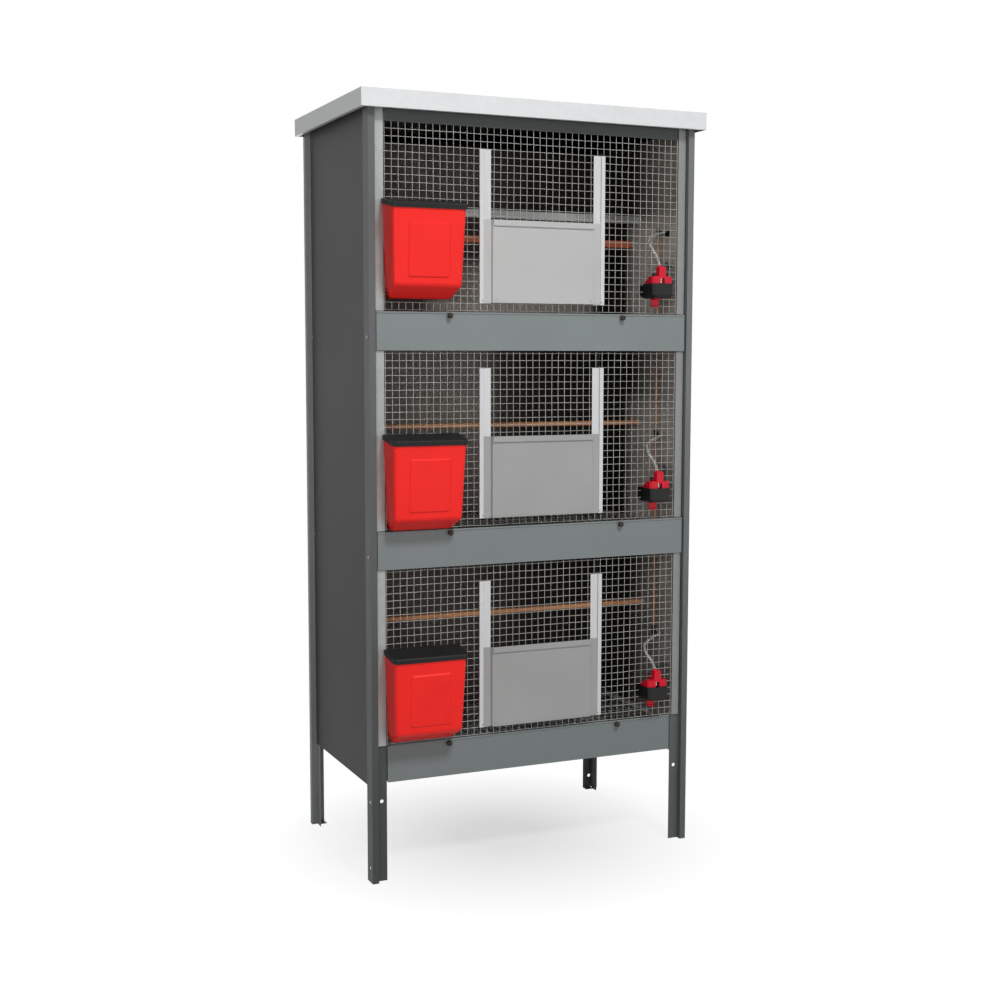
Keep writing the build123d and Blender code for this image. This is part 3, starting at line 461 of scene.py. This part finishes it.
laid = knot.node("GeometryNodeRealizeInstances", inputs={"Geometry": panel})
place = knot.node("GeometryNodeInputPosition")
inside = knot.node("ShaderNodeValue")
for number in range(windows):
    past_low = compared("GREATER_THAN", place, size[f"Window {number} Low"])
    inside = inside + past_low * compared("LESS_THAN", place, size[f"Window {number} High"])
cut = knot.node("GeometryNodeDeleteGeometry", {"domain": "POINT"}, {"Geometry": laid, "Selection": inside})
drift = knot.node("ShaderNodeTexNoise", inputs={"Vector": place, "Scale": 11, "Detail": 1}, output="Color")
drift = knot.node("ShaderNodeVectorMath", {"operation": "SUBTRACT"}, {0: drift, 1: (0.5, 0.5, 0.5)})
drift = knot.node("ShaderNodeVectorMath", {"operation": "MULTIPLY"}, {0: drift, 1: size["Wander"]})
bent = knot.node("GeometryNodeSetPosition", inputs={"Geometry": cut, "Offset": drift})
lines = knot.node("GeometryNodeMeshToCurve", inputs={"Mesh": bent})
ring_size = {"Resolution": size["Sides"], "Radius": size["Wire Radius"]}
ring = knot.node("GeometryNodeCurvePrimitiveCircle", inputs=ring_size)
swept = {"Curve": lines, "Profile Curve": ring, "Fill Caps": True}
wires = knot.node("GeometryNodeCurveToMesh", inputs=swept)
wires = knot.node("GeometryNodeSetShadeSmooth", inputs={"Geometry": wires})
wires = knot.node("GeometryNodeRealizeInstances", inputs={"Geometry": wires})
wires = knot.node("GeometryNodeSetMaterial", inputs={"Geometry": wires, "Material": size["Finish"]})
knot.feed(wire_end, wires)
brown_dirt = tint(92, 78, 66)


def wire_zinc(name, dull, bright):
    """Galvanised wire: bright drawn zinc with dull lengths and a little brown dirt along it."""
    material, tone, shader, place = coat(name)
    length = mottle(place, 18, 4)
    dirt = part_way(mottle(place, 260, 3), 0.55, 0.72)
    clean = tone.blend(length, dull, bright)
    tone.feed(shader.inputs["Base Color"], tone.blend(0.55 * dirt, clean, brown_dirt))
    tone.feed(shader.inputs["Roughness"], 0.34 + 0.25 * length)
    tone.feed(shader.inputs["Metallic"], 0.6 - 0.4 * dirt)
    return material


front_wire = wire_zinc("front_wire_zinc", tint(134, 132, 128), tint(190, 190, 187))
tiers = ("top", "middle", "bottom")
wire = 0.0016
wire_sides = 6
wire_inset = 0.0009
front_radius = 0.0007
front_wander = (0.0022, 0.0006, 0.0022)
cross_gap = 0.00005
pitch = 0.016
uprights = 48
count_slack = 0.001
front_cross_steps = 94
front_upright_steps = 52
mesh_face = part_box("clamp_strips")[1].y
flange_y = mesh_face + 2 * wire + cross_gap
sills = [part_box("tray_" + tier)[1].z for tier in tiers]
feeder_lift = (0.028, 0.002, 0.008)
feeder_x = -0.281
door_x = 0.015
door_half = 0.120
door_foot, door_head = 0.028, 0.188
trough_half = 0.066
trough_foot, trough_head = -0.003, 0.052
cup_gap = 0.001
well_in_front, well_behind = -1.0, 1.0
for tier, sill, lift in zip(tiers, sills, feeder_lift):
    low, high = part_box("front_mesh_" + tier)
    cup_low, cup_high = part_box("drinker_cup_" + tier)
    sole = sill + lift
    openings = (
        (door_x - door_half, sill + door_foot, door_x + door_half, sill + door_head),
        (feeder_x - trough_half, sole + trough_foot, feeder_x + trough_half, sole + trough_head),
        (cup_low.x - cup_gap, cup_low.z - cup_gap, cup_high.x + cup_gap, cup_high.z + cup_gap),
    )
    values = {
        "Wire Radius": front_radius,
        "Sides": wire_sides,
        "Wander": front_wander,
        "Finish": front_wire,
        "Cross Start": (low.x, flange_y - wire_inset, low.z + wire / 2),
        "Cross Step": ((high.x - low.x) / front_cross_steps, 0.0, 0.0),
        "Cross Points": front_cross_steps + 1,
        "Cross Row": (0.0, 0.0, pitch),
        "Cross Wires": int((high.z - low.z - wire) / pitch + count_slack) + 1,
        "Upright Start": (-(uprights - 1) / 2 * pitch, mesh_face + wire_inset, low.z),
        "Upright Step": (0.0, 0.0, (high.z - low.z) / front_upright_steps),
        "Upright Points": front_upright_steps + 1,
        "Upright Row": (pitch, 0.0, 0.0),
        "Upright Wires": uprights,
    }
    for number, (left, foot, right, head) in enumerate(openings):
        values[f"Window {number} Low"] = (left, well_in_front, foot)
        values[f"Window {number} High"] = (right, well_behind, head)
    mesh_front = grown(wire_tree, "wire_front_" + tier, values)
    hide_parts("front_mesh_" + tier)
    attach(mesh_front, "cage")

# The wire floors are heavier welded wire: rods from wall to wall, and the walking wires laid over them.
# They rest on the upper ledge of the runners, and the droppings have dulled and browned the zinc.
# Above the bottom one, a gap at the right lets the riser through.
floor_zinc = wire_zinc("floor_wire_zinc", tint(112, 106, 98), tint(160, 155, 147))
floor_radius = 0.00135
floor_wander = (0.0016, 0.0016, 0.0003)
rod_height = 0.0015
rods = 10
rod_pitch = 0.05
rod_steps = 37
walking_wires = 36
walking_pitch = 0.02
walking_steps = 23
riser_gap_x = (-0.036, -0.023)
riser_gap_y = (0.070, 0.080)
above_roof = 2.0
no_window = (0.0, 0.0, 0.0)
for tier in tiers:
    low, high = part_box("wire_floor_" + tier)
    middle_y = (low.y + high.y) / 2
    values = {
        "Wire Radius": floor_radius,
        "Sides": wire_sides,
        "Wander": floor_wander,
        "Finish": floor_zinc,
        "Cross Start": (low.x, middle_y - (rods - 1) / 2 * rod_pitch, low.z + rod_height),
        "Cross Step": ((high.x - low.x) / rod_steps, 0.0, 0.0),
        "Cross Points": rod_steps + 1,
        "Cross Row": (0.0, rod_pitch, 0.0),
        "Cross Wires": rods,
        "Upright Start": (-(walking_wires - 1) / 2 * walking_pitch, low.y, high.z - floor_radius),
        "Upright Step": (0.0, (high.y - low.y) / walking_steps, 0.0),
        "Upright Points": walking_steps + 1,
        "Upright Row": (walking_pitch, 0.0, 0.0),
        "Upright Wires": walking_wires,
    }
    for number in range(windows):
        values[f"Window {number} Low"] = no_window
        values[f"Window {number} High"] = no_window
    if tier != "bottom":
        values["Window 0 Low"] = (wall_x + riser_gap_x[0], flange_y + riser_gap_y[0], 0.0)
        values["Window 0 High"] = (wall_x + riser_gap_x[1], flange_y + riser_gap_y[1], above_roof)
    floor = grown(wire_tree, "wire_floor_bars_" + tier, values)
    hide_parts("wire_floor_" + tier)
    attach(floor, "cage")

# The droppings trays are folded from one sheet, with a tall front whose upper edge is rolled over.
# They are powder coated like the legs, a shade lighter, and each front carries two turned plastic knobs.
# The tray coat darkens towards the floor as painted shade.
tray_coat = powder_coat("tray_powder_coat", tint(126, 133, 133), tint(114, 120, 120))


def moulded(name, colour, pale, rough, grain):
    """Moulded plastic: a faint flow mark in the colour, a fine sparked grain and an uneven gloss."""
    material, tone, shader, place = coat(name)
    flow = mottle(place, 16, 4)
    tone.feed(shader.inputs["Base Color"], tone.blend(flow, colour, pale))
    tone.feed(shader.inputs["Roughness"], rough + 0.18 * flow)
    shader.inputs["Specular IOR Level"].default_value = 0.22
    grained(shader, mottle(place, 900, 2), grain, 0.0005)
    return material


knob_plastic = moulded("knob_plastic", tint(34, 28, 25), tint(58, 50, 45), 0.32, 0.05)
for tier in tiers:
    softened("tray_" + tier, tray_coat, 0.0004)
    softened("tray_knobs_" + tier, knob_plastic, 0.0006)

# The door rails are bent from white lacquered aluminium strip.
# The strip is drawn lengthwise, so it shows fine upright lines.
# Each pair is screwed on through the wire, with a tab at the foot that the door comes down on.
rail_strip, tone, shader, place = coat("rail_strip")
drawn = tone.node("ShaderNodeMapping", inputs={"Vector": place, "Scale": (340, 340, 5)})
streak = mottle(drawn, 1, 4)
tone.feed(shader.inputs["Base Color"], tone.blend(streak, tint(181, 182, 183), tint(212, 212, 213)))
tone.feed(shader.inputs["Roughness"], 0.26 + 0.2 * streak)
shader.inputs["Metallic"].default_value = 0.1
grained(shader, streak, 0.05, 0.0004)
for tier in tiers:
    softened("door_rails_" + tier, rail_strip, 0.0003)

# The lift-up doors are pressed from sheet: flat edges that run in the rails, a raised panel,
# a lip along the top for the fingers and a folded foot. They are painted light grey,
# given a lighter or darker grey by tier as painted light and shade, darker lower down.
# Painted light and shade: the top door's grey is lightest, the lower ones darker.
door_lit_and_shaded_greys = (182, 158, 155)
for tier, grey in zip(tiers, door_lit_and_shaded_greys):
    door_coat = powder_coat("door_grey_" + tier, tint(grey, grey + 1, grey))
    softened("door_" + tier, door_coat, 0.0005)

# The fasteners are small flat-topped heads on washers: bolts through the legs at the two upper trays,
# screws at the feet of the rails and in the lower corners of the doors. They are zinc-plated steel.
head_sizes = {
    "First": "Vector",
    "Step": "Vector",
    "Count": "Int",
    "Row Step": "Vector",
    "Rows": "Int",
    "Head Radius": "Float",
    "Head Height": "Float",
    "Turn": "Vector",
    "Finish": "Material",
}
head_corners = 20
head_tree, size, head_end = sized_tree("screw_heads", head_sizes)
knot = Tone(head_tree)
column = spaced(knot, size["Count"], size["Step"])
row = spaced(knot, size["Rows"], size["Row Step"], size["First"])
spots = knot.node("GeometryNodeInstanceOnPoints", inputs={"Points": row, "Instance": column})
spots = knot.node("GeometryNodeRealizeInstances", inputs={"Geometry": spots})
washer_size = {
    "Vertices": head_corners,
    "Radius": 1.4 * size["Head Radius"],
    "Depth": 0.6 * size["Head Height"],
}
dome_size = {
    "Vertices": head_corners,
    "Radius Top": 0.6 * size["Head Radius"],
    "Radius Bottom": size["Head Radius"],
    "Depth": size["Head Height"],
}
head = knot.node("GeometryNodeJoinGeometry")
for kind, layer_size in (("GeometryNodeMeshCylinder", washer_size), ("GeometryNodeMeshCone", dome_size)):
    knot.feed(head.socket.node.inputs[0], knot.node(kind, inputs=layer_size))
turned_heads = {"Points": spots, "Instance": head, "Rotation": size["Turn"]}
heads = knot.node("GeometryNodeInstanceOnPoints", inputs=turned_heads)
heads = knot.node("GeometryNodeRealizeInstances", inputs={"Geometry": heads})
heads = knot.node("GeometryNodeSetMaterial", inputs={"Geometry": heads, "Material": size["Finish"]})
knot.feed(head_end, heads)
screw_zinc = zinc("screw_zinc", tint(112, 113, 112), tint(168, 169, 168), 0.6, 0.30)


def fastened(name, body, values, radius, height, turn):
    """Set heads of one size on a body, in columns and rows, facing one way."""
    values.update({"Head Radius": radius, "Head Height": height, "Turn": turn, "Finish": screw_zinc})
    fasteners = grown(head_tree, name, values)
    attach(fasteners, body)


tier_step = (0.0, 0.0, (sills[2] - sills[0]) / 2)
leg_side = 0.400
rear_leg_step_in = 0.0118
rear_leg_step_up = 0.003
bolt_below_sill = 0.055
front_bolt_in = 0.014
rear_bolt_in = 0.022
front_bolt_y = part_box("post_front_left")[0].y + front_bolt_in
rear_bolt_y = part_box("post_rear_left")[1].y - rear_bolt_in
for side, hand in ((-1, "left"), (1, "right")):
    bolts = {
        "First": (side * leg_side, front_bolt_y, sills[0] - bolt_below_sill),
        "Step": tier_step,
        "Count": 2,
        "Row Step": (-side * rear_leg_step_in, rear_bolt_y - front_bolt_y, rear_leg_step_up),
        "Rows": 2,
    }
    facing_out = (0.0, side * radians(90), 0.0)
    fastened("leg_bolts_" + hand, "cage", bolts, radius=0.0030, height=0.0022, turn=facing_out)
facing_front = (radians(90), 0.0, 0.0)
rail_screw_half = 0.1475
rail_screw_y = mesh_face - 0.0038
rail_screw_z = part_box("door_rails_top")[0].z + 0.006
rail_screws = {
    "First": (door_x - rail_screw_half, rail_screw_y, rail_screw_z),
    "Step": tier_step,
    "Count": len(tiers),
    "Row Step": (2 * rail_screw_half, 0.0, 0.0),
    "Rows": 2,
}
small_head = {"radius": 0.0014, "height": 0.0009, "turn": facing_front}
fastened("rail_screws", "cage", rail_screws, **small_head)
door_screw_half = 0.1176
door_screw_y = mesh_face - 0.0084
door_screw_up = 0.0293
for tier, sill in zip(tiers, sills):
    door_screws = {
        "First": (door_x - door_screw_half, door_screw_y, sill + door_screw_up),
        "Step": (2 * door_screw_half, 0.0, 0.0),
        "Count": 2,
        "Row Step": (0.0, 0.0, 0.0),
        "Rows": 1,
    }
    fastened("door_screws_" + tier, carrier["door_" + tier], door_screws, **small_head)

# The feeder hoppers are moulded in red plastic with a raised panel on the front and rounded corners.
# The throat at the foot opens through the wire into a trough inside the cage.
# The panel's face is spread and raised a little, so that its border is as narrow and steep as the real one.
red_plastic = moulded("hopper_red", tint(236, 32, 28), tint(246, 40, 34), 0.30, 0.04)
border_half_x = 0.05
border_low, border_high = 0.04, 0.162
hopper_front = 0.05
panel_half_x = 0.041
panel_half_z = 0.051
panel_middle = 0.101
panel_growth = 0.0045
panel_rise = 0.0008
panel_edge = 1.01
front_lean = -0.0698
for tier, sill, lift in zip(tiers, sills, feeder_lift):
    hopper = softened("feeder_hopper_" + tier, red_plastic, 0.0012)
    sole = sill + lift
    raised = set()
    for point in hopper.data.vertices:
        x, y, z = point.co
        within = abs(x - feeder_x) < border_half_x and border_low < z - sole < border_high
        if within and y < flange_y - hopper_front:
            raised.add(point.index)
    for edge in hopper.data.edges:
        edge.use_edge_sharp = edge.use_edge_sharp or raised.issuperset(edge.vertices)
    for index in raised:
        point = hopper.data.vertices[index].co
        aside = (point.x - feeder_x) / panel_half_x
        above = (point.z - sole - panel_middle) / panel_half_z
        if abs(aside) < panel_edge and abs(above) < panel_edge:
            point.x += panel_growth * aside
            point.z += panel_growth * above
            point.y += front_lean * panel_growth * above - panel_rise

# The feeder lids are black plastic caps with a fine grain, moulded in one piece.
# They lie on the hoppers' rims and turn up on two pegs at the rear edge.
lid_black = moulded("lid_black", tint(20, 20, 21), tint(30, 30, 31), 0.40, 0.10)
for tier in tiers:
    softened("feeder_lid_" + tier, lid_black, 0.0008)

# The drinkers: a red valve body with a collar over a black cup, hooked through the wire on a black bracket.
# A steel pin in the valve lets water down when a bird lifts it, and a red clip holds the cup's foot.
drinker_red = moulded("drinker_red", tint(196, 12, 38), tint(216, 22, 48), 0.24, 0.03)
cup_black = moulded("cup_black", tint(18, 18, 19), tint(30, 30, 31), 0.34, 0.05)
pin_steel, tone, shader, place = coat("turned_pin_steel")
turned = mottle(place, 900, 2)
tone.feed(shader.inputs["Base Color"], tone.blend(turned, tint(186, 188, 190), tint(222, 224, 226)))
tone.feed(shader.inputs["Roughness"], 0.16 + 0.16 * turned)
shader.inputs["Metallic"].default_value = 1
for tier in tiers:
    softened("drinker_body_" + tier, drinker_red, 0.0008)
    softened("drinker_cup_" + tier, cup_black, 0.0008)
    softened("drinker_bracket_" + tier, cup_black, 0.0005)
    softened("drinker_pin_" + tier, pin_steel, 0.0003)
softened("cup_clips", drinker_red, 0.0006)

# Each drinker is fed by a short clear hose from the tee on the riser, out through the wire to its nut.
# It is soft clear tube pushed over the tee's branch, so it keeps the loose bend that it was given.
# The last number of a point is its share of the drinker's lift.
clear_tube, tone, shader, place = coat("clear_soft_tube")
haze = mottle(place, 120, 3)
tone.feed(shader.inputs["Base Color"], tone.blend(haze, tint(226, 226, 222), tint(250, 250, 248)))
tone.feed(shader.inputs["Roughness"], 0.05 + 0.12 * haze)
shader.inputs["Transmission Weight"].default_value = 0.85
shader.inputs["IOR"].default_value = 1.45
hose_route = (
    (-0.0295, 0.059, 0.195, 0),
    (-0.0295, 0.040, 0.195, 0),
    (-0.046, 0.025, 0.192, 0),
    (-0.071, 0.017, 0.186, 0),
    (-0.093, 0.007, 0.177, 0),
    (-0.103, -0.013, 0.165, 0.25),
    (-0.102, -0.026, 0.148, 0.6),
    (-0.091, -0.03175, 0.131, 1),
    (-0.0865, -0.03175, 0.113, 1),
)
hose_thick = 0.006
hose_length = (0.177, 0.174, 0.170)
drinker_lift = (0, 0.004, 0.010)
for tier, sill, lift, long in zip(tiers, sills, drinker_lift, hose_length):
    tube = bpy.data.curves.new("clear_hose_" + tier, "CURVE")
    tube.dimensions = "3D"
    line = tube.splines.new("NURBS")
    line.points.add(len(hose_route) - 1)
    for point, (x, y, z, share) in zip(line.points, hose_route):
        point.co = (wall_x + x, flange_y + y, sill + share * lift + z, 1)
    line.order_u = 3
    line.use_endpoint_u = True
    line.resolution_u = 12
    tube.bevel_depth = hose_thick / 2
    tube.bevel_resolution = 4
    tube.use_fill_caps = True
    tube.materials.append(clear_tube)
    hose = bpy.data.objects.new("clear_hose_" + tier, tube)
    scene.collection.objects.link(hose)
    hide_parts("drinker_hose_" + tier)
    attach(hose, "cage")

# The riser is amber tube in two lengths between moulded tees, up the right wall behind the wire.
# A bulkhead with a nut on each face brings the water in through the right sheet.
amber_tube, tone, shader, place = coat("amber_riser_tube")
haze = mottle(place, 60, 4)
tone.feed(shader.inputs["Base Color"], tone.blend(haze, tint(168, 100, 44), tint(206, 140, 72)))
tone.feed(shader.inputs["Roughness"], 0.14 + 0.2 * haze)
shader.inputs["Transmission Weight"].default_value = 0.35
softened("supply_riser", amber_tube, 0.0003)
softened("hose_tees", cup_black, 0.0005)
softened("water_inlet", cup_black, 0.0005)

# The perches are planed wooden bars with rounded edges, varnished orange-brown, the top one redder.
# Their ends drop into the folded cups on the side walls.
perch_wood, tone, shader, place = coat("varnished_perch_wood")
grain_way = tone.node("ShaderNodeMapping", inputs={"Vector": place, "Scale": (6, 260, 260)})
grain_size = {"Vector": grain_way, "Scale": 1, "Detail": 6, "Distortion": 0.6}
grain = tone.node("ShaderNodeTexNoise", inputs=grain_size)
worn = mottle(place, 9, 4)
timber = tone.blend(grain, tint(232, 134, 74), tint(255, 200, 142))
varnish = tone.blend(0.4 * worn, timber, tint(232, 172, 130))
top_tier = tone.node("ShaderNodeSeparateXYZ", inputs={0: place}, output="Z") > sills[0]
tone.feed(shader.inputs["Base Color"], tone.blend(0.8 * top_tier, varnish, tint(176, 62, 30)))
tone.feed(shader.inputs["Roughness"], 0.4 + 0.25 * worn)
grained(shader, grain, 0.12, 0.0005)
softened("perches", perch_wood, 0.0006)
